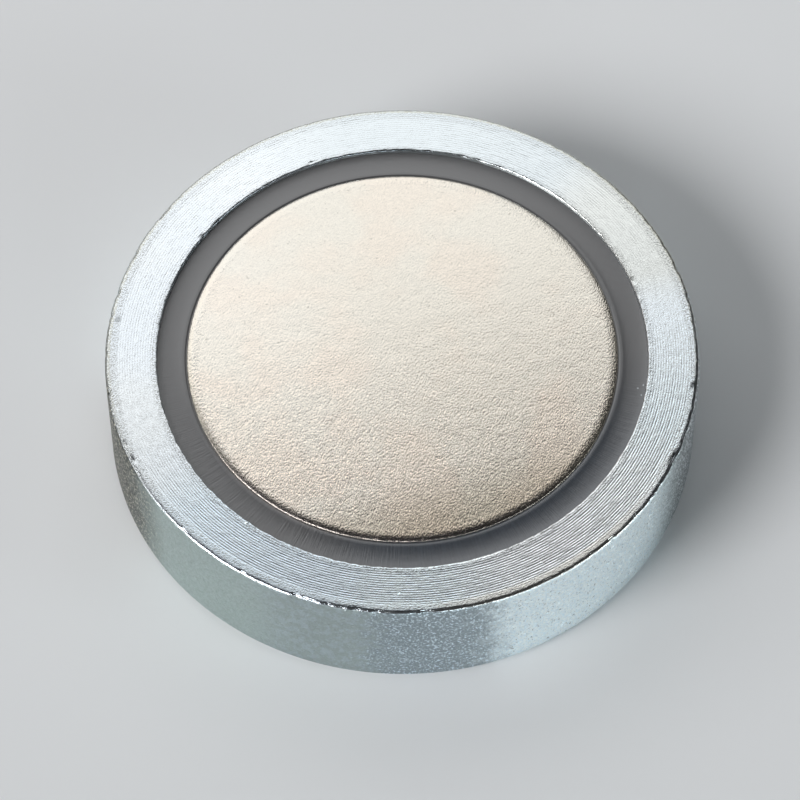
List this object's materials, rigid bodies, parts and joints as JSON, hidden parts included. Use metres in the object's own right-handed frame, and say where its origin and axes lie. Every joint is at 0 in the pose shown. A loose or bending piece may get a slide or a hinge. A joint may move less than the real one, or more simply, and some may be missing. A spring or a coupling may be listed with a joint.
{
  "type": "pot magnet",
  "caption": "Flat round pot magnet: a plated steel cup with a magnet disc set flush in its open face and a cast resin ring between them.",
  "frame": {"origin": "middle of the flat back face, at the bottom of the cup", "axes": "+Z along the cup's axis, out of the open side that holds; X and Y lie across the round face and are alike"},
  "size_m": [0.032, 0.032, 0.007],
  "materials": {
    "zinc_plated_steel": "bright zinc plate over turned steel, satin with fine concentric tool marks on the rim",
    "nickel_plate": "warm nickel plate with a fine orange peel",
    "potting_resin": "satin dark grey casting resin"
  },
  "bodies": {
    "root": {"steel_cup": "zinc_plated_steel", "magnet_disc": "nickel_plate", "resin_ring": "potting_resin"}
  },
  "joints": []
}
